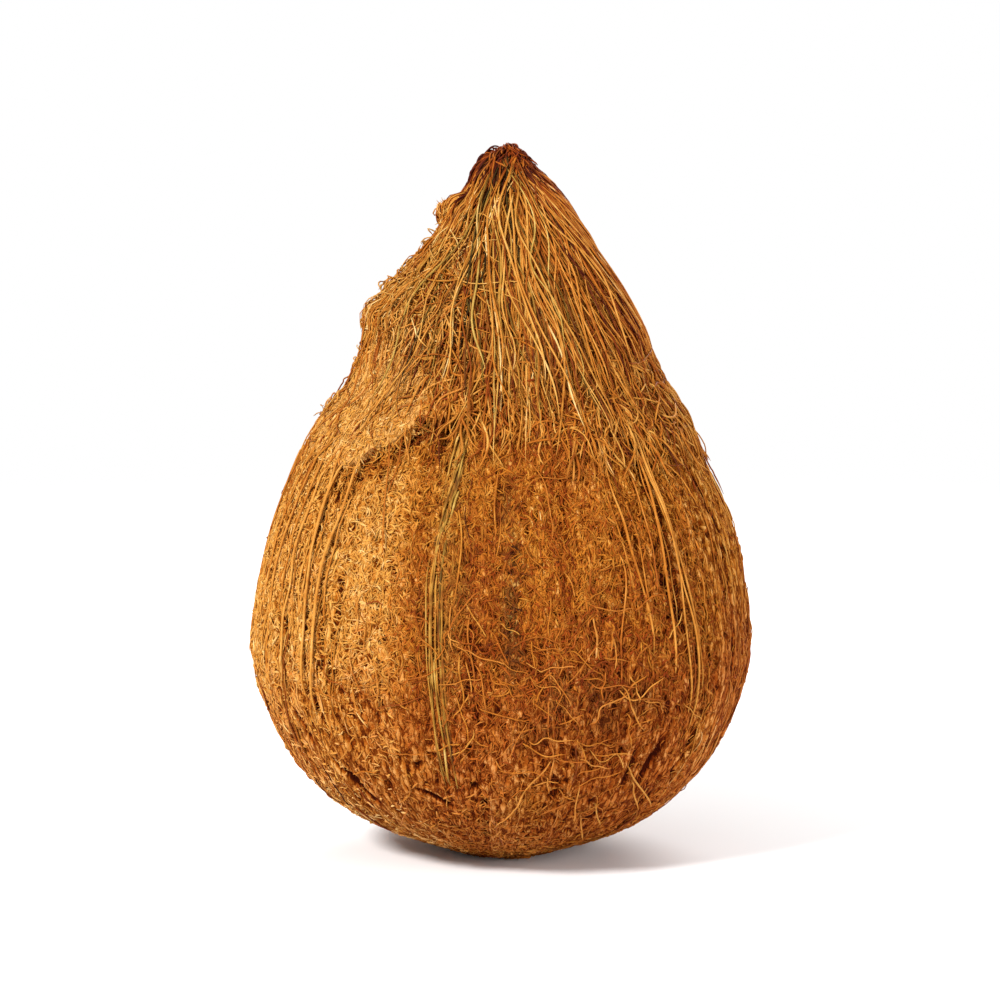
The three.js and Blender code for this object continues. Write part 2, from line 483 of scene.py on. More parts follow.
def matted_coir():
    """Pith and coir matted dry: matt brown crumbs, paler where rubbed, with painted shade that
    makes the pits and cracks near black and painted light on what stands out.
    """
    material, tree, shader = new_material("matted_coir", 0.95, 0.04)
    place = add_node(tree, "TexCoord", out="Object")
    # Crumbs of pith are about 0.9 mm across and twice as long from stem to base.
    drawn = add_node(tree, "Mapping", {"Vector": place, "Scale": (1.0, 1.0, 0.55)})
    fine = {"Vector": drawn, "Scale": 1 / (0.9 * MM), "Detail": 4.0, "Roughness": 0.7}
    crumbs = add_node(tree, "TexNoise", fine, out="Fac")
    # They lie in flakes about 1.2 mm across and 5 mm long, bent, with cracks between that are
    # darkened with painted shade.
    lines = add_node(tree, "Attribute", out="Vector", attribute_name="combed")
    lines = add_node(tree, "Mapping", {"Vector": lines, "Scale": (1.0, 1.0, 0.24)})
    bent = {0: crumbs.node.outputs["Color"], 1: (1.6 * MM, 1.6 * MM, 1.6 * MM), 2: lines}
    bent = add_node(tree, "VectorMath", bent, operation="MULTIPLY_ADD")
    cells = {"Vector": bent, "Scale": 1 / (1.2 * MM)}
    cells = add_node(tree, "TexVoronoi", cells, out="Distance", feature="DISTANCE_TO_EDGE")
    flakes = {"Value": cells, "From Min": 0.0, "From Max": 0.16}
    flakes = add_node(tree, "MapRange", flakes, interpolation_type="SMOOTHSTEP")
    values = {
        label: add_node(tree, "Attribute", out="Fac", attribute_name=label)
        for label in ("relief_shade_and_pale", "rust", "stain", "dark")
    }
    # Painted shade and light: pits darker and crumbs that stand out lighter, from the relief
    # numbers; on the crest's root these also carry the bare patch's own paler colour.
    lit = add_node(tree, "Math", {0: values["relief_shade_and_pale"], 1: 0.8}, operation="MULTIPLY")
    mixed = add_node(tree, "Math", {0: crumbs, 1: 0.75, 2: lit}, operation="MULTIPLY_ADD")
    # The dark numbers carry painted shade, under the rim, in the cracks and under the crest,
    # together with the felt's own streaks, wear and darker base.
    sunk = {0: values["dark"], 1: -0.45, 2: mixed}
    sunk = add_node(tree, "Math", sunk, operation="MULTIPLY_ADD")
    edged = add_node(tree, "Math", {0: flakes, 1: 0.34, 2: sunk}, operation="MULTIPLY_ADD")
    tone = add_node(tree, "Math", {0: edged, 1: 0.25}, operation="SUBTRACT")
    tone = add_node(tree, "Math", {0: tone, 1: 1 / PALEST}, operation="MULTIPLY")
    places = [place / PALEST for place in (0.3, PALEST, 0.55, 0.78, 0.95)]
    golden = "#390f01", "#d0964f", "#743103", "#9d5814", "#b9792d"
    rusty = "#350b01", "#c48447", "#6a2703", "#8e4511", "#a96128"
    mouldy = "#1c0e03", "#8d6c38", "#3b250c", "#573b18", "#725328"
    browns = golden, rusty, mouldy
    colour = three_browns(tree, tone, places, browns, values["rust"], values["stain"])
    tree.links.new(colour, shader.inputs["Base Color"])
    heaped = add_node(tree, "Math", {0: flakes, 1: 0.6, 2: crumbs}, operation="MULTIPLY_ADD")
    relief = add_node(tree, "Bump", {"Height": heaped, "Strength": 0.9, "Distance": 0.6 * MM})
    tree.links.new(relief, shader.inputs["Normal"])
    return material


felt = make_body_felt()
matted = matted_coir()
felt.data.materials.append(matted)
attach(felt, "root")
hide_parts("coconut")


# The root of the crest: the thicker layer of husk round the stem end that the torn crest
# grows from. It ends in a ragged rim on the shoulder, overhanging on the left of the front,
# and it is bare there, a tan mat of felt with a dark crease along its top.
ROOT_ROUND = 420
ROOT_DOWN = 236
ROOT_TUCK = 8  # rings that turn in under the rim


def bare_patch(turn, height):
    """1 where the mat is bare of long coir, on the left shoulder, and 0 elsewhere."""
    side = from_front(turn)
    across = ease(side, -106, -88) * (1 - ease(side, -30, -20))
    return across * (1 - ease(height, 121, 126))


def root_rise(turn, share):
    """How far the crest's root stands over the skin, in millimetres."""
    places = look_up(skin, turn, share)
    height, side = height_at(share), from_front(turn)
    flakes = 0.4 * flaked(combed(turn, share, 1.8), 2.6, 31) + 0.3 * flaked(places, 1.6, 32)
    lumps = grain(places, 5.0, 33) + 0.6 * grain(places, 2.4, 34)
    crumbs = grain(places, 1.3, 35)
    crease = near(side, -29, 7) * near(height, 121 + 0.25 * (side + 29), 1.2)
    rim = 0.7 * near(side, -32, 18) * near(height, rim_height(turn) + 2, 4)
    rise = flakes + 0.18 * lumps + 0.14 * crumbs + rim - 0.4
    return (rise - 1.6 * crease) * ease(share, 0, 0.03) - 0.35


def make_crest_root():
    turns = np.arange(ROOT_ROUND) * 2 * math.pi / ROOT_ROUND
    flat = ROOT_DOWN - ROOT_TUCK
    run = np.concatenate([np.linspace(0.008, 1, flat), np.linspace(1, 1.006, ROOT_TUCK)])
    turn, run = np.meshgrid(turns, run, indexing="ij")
    share = run * share_at(rim_height(turn))
    rise = root_rise(turn, share)
    tucked = ease(np.arange(ROOT_DOWN), flat - 3, ROOT_DOWN - 1)
    height = height_at(share)
    bare = bare_patch(turn, height)
    # Painted shade: the root is darkened under the crest, where the strands lie over it, but not on
    # the bare patch, and it also darkens towards the tip. The relief numbers paint shade into its
    # pits and light onto its lumps, and also carry the bare patch's own paler colour.
    dark = ease(height, 107, 116) * (1 - bare) + 0.3 * ease(height, 150, 158)
    pale = 0.45 * bare
    numbers = {
        "relief_shade_and_pale": np.clip(shade_from_relief(rise) + pale * 0.6, 0, 1), "rust": 0.15 + 0 * turn,
        "stain": 0 * turn, "dark": dark - pale * 0.9,
    }
    return pad_mesh("crest_root", turn, share, rise - 2.6 * tucked, numbers)


crest_root = make_crest_root()
crest_root.data.materials.append(matted)
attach(crest_root, "root")


# The crest: coarse stiff fibres that grow out of the root round the stem end. They lie in
# clumps, layer over layer, from the tip down to the shoulder, with ragged ends at the rim.
STRAND_CORNERS = 4


def wander(draw, count, points, waves, size):
    """Smooth random curves, one for each strand, with so many waves along each."""
    knots = draw.normal(0, size, (count, waves + 3))
    at = np.linspace(1, waves + 1, points)
    i = np.minimum(at.astype(int), waves)
    t = at - i
    a, b, c, d = (knots[:, i + step] for step in (-1, 0, 1, 2))
    return b + 0.5 * t * (c - a + t * (2 * a - 5 * b + 4 * c - d + t * (3 * (b - c) + d - a)))


def trail(turn, height, heading, length):
    """Turns and shares of strands laid over the skin, by their headings from straight down."""
    points = heading.shape[1]
    step = length / (points - 1)
    turns, shares = np.empty(heading.shape), np.empty(heading.shape)
    turn, share = np.array(turn, float), share_at(height)
    for k in range(points):
        turns[:, k], shares[:, k] = turn, share
        radius = np.maximum(np.interp(share, skin_share, skin_radius), 3.0)
        turn = turn + step * np.sin(heading[:, k]) / radius
        share = np.clip(share + step * np.cos(heading[:, k]) / MERIDIAN, 0.003, 0.997)
    return turns, shares


def strand_mesh(name, turns, shares, lift, thick, tone, straw, rust, slender, flat=1, away=0):
    """Closed tapering strands, thick millimetres across, lying lift millimetres over the skin.

    Each has a cell of its own on the bake map, that many times as tall as wide as it is slender.
    """
    centres, out = on_skin(turns, shares, lift)
    centres = centres + away
    along = np.gradient(centres, axis=1)
    side = unit(np.cross(along, out))
    over = unit(np.cross(side, along))
    count, rings = thick.shape
    half = (thick * MM / 2)[..., None, None]
    corner = np.arange(STRAND_CORNERS) * 2 * math.pi / STRAND_CORNERS
    swing = np.cos(corner)[:, None] * flat * side[:, :, None]
    swing = swing + np.sin(corner)[:, None] * over[:, :, None]
    points = above_ground(centres[:, :, None] + half * swing)
    first = np.arange(count)[:, None, None] * rings * STRAND_CORNERS
    k = np.arange(rings - 1)[None, :, None]
    s = np.arange(STRAND_CORNERS)[None, None, :]
    beside = (s + 1) % STRAND_CORNERS
    here, ahead = first + k * STRAND_CORNERS, first + (k + 1) * STRAND_CORNERS
    sides = np.stack([here + s, ahead + s, ahead + beside, here + beside], -1)
    last = (rings - 1) * STRAND_CORNERS
    ends = first + np.array([[0, 1, 2, 3], [last + 3, last + 2, last + 1, last]])
    quads = np.concatenate([sides.reshape(count, -1, 4), ends], 1)
    columns = max(1, round(math.sqrt(count * slender)))
    rows = math.ceil(count / columns)
    place_u = (np.arange(count) % columns)[:, None, None] / columns
    place_v = (np.arange(count) // columns)[:, None, None] / rows
    u = np.stack([s, s, s + 1, s + 1], -1) / STRAND_CORNERS + 0.0 * k[..., None]
    v = 0.09 + 0.82 * np.stack([k, k + 1, k + 1, k], -1) / (rings - 1) + 0.0 * s[..., None]
    cap_u = np.array([[0.0, 1.0, 1.0, 0.0]] * 2)
    cap_v = np.array([[0.0, 0.0, 0.07, 0.07], [0.93, 0.93, 1.0, 1.0]])
    u = np.concatenate([u.reshape(-1, 4), cap_u])[None]
    v = np.concatenate([v.reshape(-1, 4), cap_v])[None]
    on_map = np.stack([place_u + 0.94 * u / columns, place_v + 0.97 * v / rows], -1)
    spread = {
        label: np.repeat(np.broadcast_to(value.reshape(count, -1), thick.shape), STRAND_CORNERS)
        for label, value in (("tone", tone), ("straw", straw), ("rust", rust))
    }
    quads, on_map = quads.reshape(-1, 4), on_map.reshape(-1, 4, 2)
    return shell_mesh(name, points.reshape(-1, 3), quads, on_map, spread)


def dipped(at, root, end, deep=0.5):
    """How far down into the husk the two ends of a strand go, in millimetres."""
    return deep * (1 - ease(at, 0, root)) + deep * ease(at, end, 1)


def taper(points, root, end):
    """Thickness along a strand: 1 in the middle, falling to a fine point at both ends."""
    at = np.linspace(0, 1, points)
    return np.clip(np.minimum(at / root, (1 - at) / end), 0.12, 1) ** 0.6


# By turn from the front: the height where the long coir ends, and how far it leans, in degrees.
CREST_FEET = (
    (-180, 102), (-160, 107), (-138, 100), (-118, 116), (-104, 146), (-74, 148), (-62, 147),
    (-44, 141), (-32, 129), (-22, 113), (-8, 107), (10, 106), (30, 103), (50, 102),
    (75, 104), (90, 101), (108, 107), (126, 98), (144, 105), (164, 97), (180, 102),
)
CREST_TOP = 162.9
CREST_LEANS = (
    (-180, 2), (-45, 0), (-25, 4), (-8, 2), (10, 5), (28, 12), (60, 9), (90, 4), (180, 2),
)


def crest_strands(draw, name, clumps, each, packed, lifts, thick, tones, gold):
    points = 26
    count = clumps * each
    turn = np.repeat(draw.uniform(0, 2 * math.pi, clumps), each) + draw.normal(0, packed, count)
    start = CREST_TOP - np.abs(draw.normal(0, 1.6, count)) - draw.uniform(0, 10, count) ** 1.5 / 4
    side = from_front(turn)
    lean = np.radians(np.interp(side, *zip(*CREST_LEANS)))
    heading = np.repeat(wander(draw, clumps, points, 4, 0.17), each, 0)
    heading = heading + wander(draw, count, points, 6, 0.13)
    heading = heading + (lean + draw.normal(0, 0.05, count))[:, None]
    foot = np.interp(side, *zip(*CREST_FEET))
    foot = foot + draw.normal(0, 4.5, count) + np.repeat(draw.normal(0, 3.0, clumps), each)
    foot = foot + 5 * grain(combed(turn, 0 * turn), 16, 41)
    length = np.maximum((share_at(foot) - share_at(start)) * MERIDIAN, 8)
    turns, shares = trail(turn, start, heading, length)
    clump_lift = np.repeat(draw.uniform(*lifts, clumps), each)[:, None]
    lift = clump_lift + wander(draw, count, points, 4, 0.3)
    at = np.linspace(0, 1, points)
    edge = ease(np.abs(from_front(turns)), 40, 62)
    loose = np.maximum(draw.normal(0.1, 0.7, count), 0)[:, None] * (1 - edge)
    lift = lift * ease(at, 0, 0.15) + loose * ease(at, 0.82, 1.0) - 0.3 * (1 - ease(at, 0, 0.1))
    lift = lift - (1.0 + 0.85 * lift) * edge * ease(height_at(shares), 122, 107)
    wide = draw.uniform(*thick, count)[:, None] * taper(points, 0.03, 0.12)
    tone = np.repeat(draw.normal(0, 0.11, clumps), each) + draw.normal(*tones, count)
    # Painted shade: the strands are a little darker down the right side, away from the key light.
    tone = tone - 0.04 * ease(side, 5, 40) * (1 - ease(side, 120, 170))
    tone = tone[:, None] + wander(draw, count, points, 5, 0.08)
    tone = tone - 0.42 * ease(height_at(shares), 147, 161)
    straw = gold * near(side, -12, 18) * draw.uniform(0, 1.2, count)
    rust = draw.uniform(0, 0.25, count) + 0.45 * ease(side, 5, 35) * (1 - ease(side, 120, 170))
    return strand_mesh(name, turns, shares, lift, wide, tone, np.clip(straw, 0, 1), rust, 8)


def combed_coir(name, roughness):
    """Single fibres of coir: brown to straw, golden or rusty, and olive where still green."""
    material, tree, shader = new_material(name, roughness, 0.1)
    place = add_node(tree, "TexCoord", out="Object")
    # The blotches along a fibre are about 2 mm long.
    spots = {"Vector": place, "Scale": 1 / (2 * MM), "Detail": 4.0}
    blotch = add_node(tree, "TexNoise", spots, out="Fac")
    values = {
        label: add_node(tree, "Attribute", out="Fac", attribute_name=label)
        for label in ("tone", "straw", "rust")
    }
    mixed = {0: blotch, 1: 0.5, 2: values["tone"]}
    mixed = add_node(tree, "Math", mixed, operation="MULTIPLY_ADD")
    shade = add_node(tree, "Math", {0: mixed, 1: 0.25}, operation="SUBTRACT")
    places = 0.02, 1.0, 0.25, 0.48, 0.72
    golden = "#420f01", "#e2bc7b", "#803604", "#ab6619", "#c68b3b"
    rusty = "#3b0c01", "#daa467", "#782d04", "#a15416", "#bc7632"
    olive = "#2e2107", "#dccb8e", "#69501a", "#937832", "#b59a52"
    browns = golden, rusty, olive
    colour = three_browns(tree, shade, places, browns, values["rust"], values["straw"])
    tree.links.new(colour, shader.inputs["Base Color"])
    relief = add_node(tree, "Bump", {"Height": blotch, "Strength": 0.35, "Distance": 0.1 * MM})
    tree.links.new(relief, shader.inputs["Normal"])
    return material


draw = np.random.default_rng(7)
# Long coir has kept its wax, and shines a little along each strand.
waxy_coir = combed_coir("waxy_coir", 0.6)
# The under layer's dark tone is painted shade in the gaps between the strands over it.
CREST_LAYERS = (  # name, clumps, strands in each, their spread, lift, thickness, tone, straw
    ("crest_under", 76, 8, 0.06, (-0.6, 0.0), (0.35, 0.7), (0.2, 0.1), 0.1),
    ("crest_middle", 72, 13, 0.018, (-0.1, 0.9), (0.26, 0.52), (0.41, 0.12), 0.5),
    ("crest_over", 64, 14, 0.016, (0.3, 1.8), (0.24, 0.52), (0.46, 0.14), 1.0),
)
for layer_facts in CREST_LAYERS:
    layer = crest_strands(draw, *layer_facts)
    layer.data.materials.append(waxy_coir)
    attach(layer, "root")


# The tip: the stumps of the fibres that held the stem. They are coir, torn off short when the
# nut was picked, and have dried blunt and dark.
TIP_STUMPS = 460
TIP_TOP = 163.4


def make_tip(draw):
    points, count = 8, TIP_STUMPS
    turn = draw.uniform(0, 2 * math.pi, count)
    start = TIP_TOP - draw.uniform(0, 1, count) ** 1.4 * 8
    heading = draw.normal(0, 0.3, count)[:, None] + wander(draw, count, points, 2, 0.3)
    turns, shares = trail(turn, start, heading, draw.uniform(2, 8, count))
    at = np.linspace(0, 1, points)
    lift = draw.uniform(-0.3, 0.7, count)[:, None] + wander(draw, count, points, 2, 0.25)
    lift = lift + np.maximum(draw.normal(0, 0.5, count), 0)[:, None] * ease(at, 0.4, 1)
    wide = draw.uniform(0.25, 0.55, count)[:, None] * taper(points, 0.1, 0.25)
    tone = draw.normal(0.17, 0.13, count)
    rust = draw.uniform(0, 0.6, count)
    return strand_mesh("crest_tip", turns, shares, lift, wide, tone, 0 * turn, rust, 2)


tip = make_tip(draw)
tip.data.materials.append(waxy_coir)
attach(tip, "root")


# The fringe: short curled ends of coir at the foot of the crest, where the rest of the husk
# was torn away from it. They are matted over the rim and grow out from under the crest.
FRINGE_ENDS = 2400
BALD_ABOVE = 119  # mm: where the crest ends higher than this, nearly all the fringe is gone too


def make_fringe(draw):
    points, count = 9, FRINGE_ENDS
    turn = draw.uniform(0, 2 * math.pi, count)
    side = from_front(turn)
    foot = np.interp(side, *zip(*CREST_FEET))
    low_end = rim_height(turn) + 3
    bald = (foot > BALD_ABOVE) & (draw.uniform(0, 1, count) < 0.92)
    turn = np.where(bald, turn + 1.5, turn)
    foot = np.interp(from_front(turn), *zip(*CREST_FEET))
    sparse = draw.uniform(low_end, 128)
    dense = foot - 3 + 36 * draw.uniform(0, 1, count) ** 1.4
    height = np.where(foot > BALD_ABOVE, sparse, dense)
    heading = draw.normal(0.05, 0.6, count)[:, None] + wander(draw, count, points, 2, 0.55)
    turns, shares = trail(turn, height, heading, draw.uniform(3, 13, count))
    at = np.linspace(0, 1, points)
    lift = draw.uniform(-0.1, 0.8, count)[:, None] + wander(draw, count, points, 2, 0.25)
    lift = lift - 0.7 * (1 - ease(at, 0, 0.2))
    wide = draw.uniform(0.28, 0.6, count)[:, None] * taper(points, 0.12, 0.15)
    tone = draw.normal(0.46, 0.12, count)[:, None] + wander(draw, count, points, 2, 0.06)
    straw, rust = draw.uniform(0, 0.25, count), draw.uniform(0, 0.6, count)
    return strand_mesh("crest_fringe", turns, shares, lift, wide, tone, straw, rust, 3)


fringe = make_fringe(draw)
fringe.data.materials.append(waxy_coir)
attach(fringe, "root")


# The tangle: on the left shoulder the long coir has been torn away, and short curled ends
# are left, matted over each other, with tufts that stand out from the edge.
TUFTS = (  # turn from the front, height, how far it stands out in mm
    (-90, 149.4, 1.4), (-96, 149, 1.2), (-84, 149, 1.2), (-90, 148, 0.9), (-88, 142, 0.8),
    (-93, 136, 1.2), (-90, 130.5, 1.5), (-86, 129, 1.2), (-95, 125.5, 1.4), (-90, 122, 0.8),
    (-84, 115, 0.7), (-90, 104, 0.8), (-104, 140, 1.6), (-112, 130, 1.6), (-75, 131, 1.2),
    (-80, 124, 1.2),
)
TUFT_STRANDS = 40
MATTED_STRANDS = 800


def make_tangle(draw):
    points, count = 12, MATTED_STRANDS
    turn, height = draw.uniform(-112, -26, count), draw.uniform(124, 151, count)
    heading = draw.normal(0.1, 0.75, count)
    length = np.minimum(draw.uniform(6, 26, count), 4 + 1.3 * (height - 122))
    stand = np.maximum(draw.normal(-0.2, 0.6, count), 0)
    groups = [(turn, height, heading, length, stand, np.full(count, 0.5))]
    count = TUFT_STRANDS
    for side, level, out in TUFTS:
        turn, height = side + draw.normal(0, 5, count), level + draw.normal(0, 1.2, count)
        heading, length = draw.uniform(-math.pi, math.pi, count), draw.uniform(2, 6.5, count)
        stand = draw.uniform(-0.3, 1, count) * out
        groups.append((turn, height, heading, length, stand, np.full(count, 1.3)))
    turn, height, heading, length, stand, kink = np.concatenate(groups, axis=1)
    count = len(turn)
    heading = heading[:, None] + wander(draw, count, points, 3, 1.0) * kink[:, None]
    turns, shares = trail(np.radians(turn), height, heading, length)
    at = np.linspace(0, 1, points)
    lift = draw.uniform(-0.4, 0.8, count)[:, None] + wander(draw, count, points, 2, 0.3)
    loose = stand[:, None] * ease(at, 0.1, 0.6)
    lift = lift + loose * (1 + 0.4 * wander(draw, count, points, 3, 1.0))
    wide = draw.uniform(0.2, 0.42, count)[:, None] * taper(points, 0.12, 0.2)
    tone = draw.normal(0.59, 0.12, count)[:, None] + wander(draw, count, points, 2, 0.06)
    straw, rust = draw.uniform(0, 0.4, count), draw.uniform(0, 0.5, count)
    return strand_mesh("shoulder_tangle", turns, shares, lift, wide, tone, straw, rust, 4)


FRAYS = (  # turn from the front, height, reach in mm, strands, degrees that it points above level
    (-90, 148.4, 3.9, 64, 86), (-88, 146.5, 2.6, 40, 60), (-91, 140, 2.4, 7, 70),
    (-90, 136, 2.0, 14, 75), (-89, 131.5, 2.2, 18, 60), (-91, 126.5, 2.0, 26, 15),
    (-90, 124, 1.4, 16, 30), (-108, 142, 2.4, 24, 60),
)


def make_frays(draw):
    """Stiff ends that stand up past the torn edge, and don't follow the skin."""
    points = 8
    side, height, reach, strands, way = np.array(FRAYS).T
    tuft = np.repeat(np.arange(len(FRAYS)), strands.astype(int))
    count = len(tuft)
    turn = np.radians(side[tuft] + draw.normal(0, 6, count))
    share = share_at(height[tuft] + draw.normal(0, 0.8, count))
    rise = np.radians(way[tuft] + draw.normal(0, 20, count))[:, None]
    rise = rise + wander(draw, count, points, 2, 0.4)
    aside = turn[:, None] + wander(draw, count, points, 2, 0.5)
    steps = [np.cos(rise) * np.sin(aside), -np.cos(rise) * np.cos(aside), np.sin(rise)]
    length = (reach[tuft] * draw.uniform(0.4, 1.1, count))[:, None, None]
    steps = np.stack(steps, -1) * length * MM / (points - 1)
    away = np.cumsum(steps, 1) - steps
    wide = draw.uniform(0.18, 0.34, count)[:, None] * taper(points, 0.1, 0.4)
    tone = draw.normal(0.6, 0.16, count)
    straw, rust = draw.uniform(0, 0.3, count), draw.uniform(0, 0.6, count)
    rooted = np.ones((count, points))
    turns, shares, lift = turn[:, None] * rooted, share[:, None] * rooted, -0.3 * rooted
    return strand_mesh("torn_ends", turns, shares, lift, wide, tone, straw, rust, 4, away=away)


for ends in (make_tangle(draw), make_frays(np.random.default_rng(11))):
    ends.data.materials.append(waxy_coir)
    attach(ends, "root")


# The ribs: the stoutest fibres of the husk, still lying in the felt from the shoulder down.
# Those on the left stand proud of it, and two pale bundles run down the right.
RIBS = (  # turn from the front, top height, length, thickness, paleness, lean in degrees
    (-70, 97, 40, 0.5, 0.5, 0), (-64, 98, 60, 0.6, 0.6, 0), (-60, 97, 36, 0.55, 0.55, 0),
    (-57, 93, 50, 0.7, 0.62, 0), (-52, 99, 42, 0.6, 0.6, 0), (-50.5, 95, 56, 0.75, 0.66, 0),
    (-44, 96, 60, 0.8, 0.66, 0), (-43, 88, 30, 0.5, 0.55, 0), (39.5, 109, 66, 0.64, 0.57, 4),
    (40.4, 105, 72, 0.55, 0.56, 5), (41.2, 98, 40, 0.4, 0.5, 4), (42.6, 107, 76, 0.68, 0.6, 5),
    (43.6, 104, 66, 0.55, 0.57, 5), (44.4, 95, 46, 0.4, 0.5, 6), (29, 100, 50, 0.55, 0.52, 4),
    (28, 93, 36, 0.4, 0.48, 6), (34, 88, 42, 0.4, 0.46, 5), (100, 99, 62, 0.6, 0.58, 0),
    (118, 96, 50, 0.5, 0.5, 0), (141, 98, 66, 0.7, 0.62, 2), (144, 95, 60, 0.55, 0.56, 3),
    (166, 90, 44, 0.5, 0.5, 0), (-172, 98, 62, 0.7, 0.62, 2), (-169, 97, 58, 0.55, 0.58, 3),
    (-150, 92, 40, 0.5, 0.5, 0), (-128, 98, 60, 0.7, 0.6, -2), (-124, 97, 54, 0.55, 0.55, -3),
    (-104, 95, 48, 0.5, 0.5, 0), (-85, 96, 56, 0.5, 0.52, 0),
)


def make_ribs(draw):
    points = 36
    side, start, length, wide, tone, lean = np.array(RIBS).T
    heading = np.radians(lean)[:, None] + wander(draw, len(RIBS), points, 7, 0.08)
    turns, shares = trail(np.radians(side), start, heading, length)
    at = np.linspace(0, 1, points)
    lift = 0.15 + 1.2 * (wide[:, None] - 0.5) + wander(draw, len(RIBS), points, 7, 0.15)
    lift = lift - dipped(at, 0.06, 0.9, 0.7)
    wide = wide[:, None] * taper(points, 0.05, 0.1) * (1 + wander(draw, len(RIBS), points, 8, 0.1))
    tone = tone[:, None] + wander(draw, len(RIBS), points, 7, 0.06)
    straw, rust = 0.08 + 0 * side, 0.25 + 0 * side
    return strand_mesh("body_ribs", turns, shares, lift, wide, tone, straw, rust, 8)


FINE_RIBS = 520


def make_fine_ribs(draw):
    """The finer fibres between the ribs, sparse over the front and close together at the sides."""
    points, count = 16, FINE_RIBS
    side = draw.uniform(-180, 180, count)
    kept = draw.uniform(0, 1, count) < 0.25 + 0.75 * ease(np.abs(side - 5), 34, 62)
    moved = np.where(draw.uniform(0, 1, count) < 0.3, 84, -72) + draw.normal(0, 14, count)
    turn = np.radians(np.where(kept, side, moved))
    start = draw.uniform(14, 106, count)
    length = np.minimum(5 + draw.exponential(12, count), (0.955 - share_at(start)) * MERIDIAN)
    turns, shares = trail(turn, start, wander(draw, count, points, 4, 0.17), np.minimum(length, 48))
    at = np.linspace(0, 1, points)
    lift = -0.18 + wander(draw, count, points, 5, 0.22) - dipped(at, 0.1, 0.88)
    wide = draw.uniform(0.2, 0.42, count)[:, None] * taper(points, 0.06, 0.1)
    tone = draw.normal(0.46, 0.15, count)[:, None] + wander(draw, count, points, 4, 0.06)
    # Darker towards the base.
    tone = tone - 0.12 * ease(height_at(shares), 30, 12)
    rust = np.clip(rustiness(turns, shares) + draw.normal(0.1, 0.2, count)[:, None], 0, 1)
    straw = draw.uniform(0, 0.2, count)
    return strand_mesh("fine_ribs", turns, shares, lift, wide, tone, straw, rust, 6)


for ribs in (make_ribs(draw), make_fine_ribs(draw)):
    ribs.data.materials.append(waxy_coir)
    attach(ribs, "root")


# The green strip: a band of young coir, still pale olive, that lies flat on the front from
# the rim nearly to the base.
STRIP_UPPER, STRIP_LOWER = 14, 13  # strands


def make_strip(draw):
    points, upper, lower = 34, STRIP_UPPER, STRIP_LOWER
    count = upper + lower
    across = np.concatenate([draw.normal(0, 1.1, upper), np.linspace(-1.9, 1.9, lower)])
    start = np.concatenate([draw.uniform(84, 107, upper), draw.uniform(50, 86, lower)])
    length = np.concatenate([draw.uniform(8, 22, upper), draw.uniform(30, 60, lower)])
    length = np.minimum(length, start - 22)
    on_line = np.interp(start, [28.5, 45, 75.5, 106], [-12, -13, -16, -10])
    turn = np.radians(on_line + across)
    at = np.linspace(0, 1, points)
    down = start[:, None] - length[:, None] * at
    bend = np.radians(np.interp(down, [28, 50, 72, 80, 104], [3, 4, 0, -10, -10]))
    turns, shares = trail(turn, start, bend + wander(draw, count, points, 6, 0.035), length)
    lift = -0.25 + 0.35 * ease(down, 82, 64) + wander(draw, count, points, 9, 0.2)
    lift = lift - dipped(at, 0.06, 0.9)
    wide = draw.uniform(0.3, 0.48, count)[:, None] * taper(points, 0.08, 0.12)
    tone = draw.normal(0.39, 0.07, count)[:, None] + wander(draw, count, points, 10, 0.1)
    straw = draw.uniform(0.35, 0.8, count)
    return strand_mesh("green_strip", turns, shares, lift, wide, tone, straw, 0 * turn, 8, flat=1.2)


strip = make_strip(draw)
strip.data.materials.append(waxy_coir)
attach(strip, "root")


# The crumbs: short broken ends of coir and flakes of pith, caught in the felt every which
# way. They make its coarse face, over the whole body and the bare mat on the left shoulder.
CRUMB_LOTS = 7
CRUMBS_IN_LOT = 7000


def felt_top(turn, share):
    height = height_at(share)
    over = ease(height, rim_height(turn) - 0.4, rim_height(turn) + 0.4)
    return body_rise(turn, share) * (1 - over) + root_rise(turn, share) * over


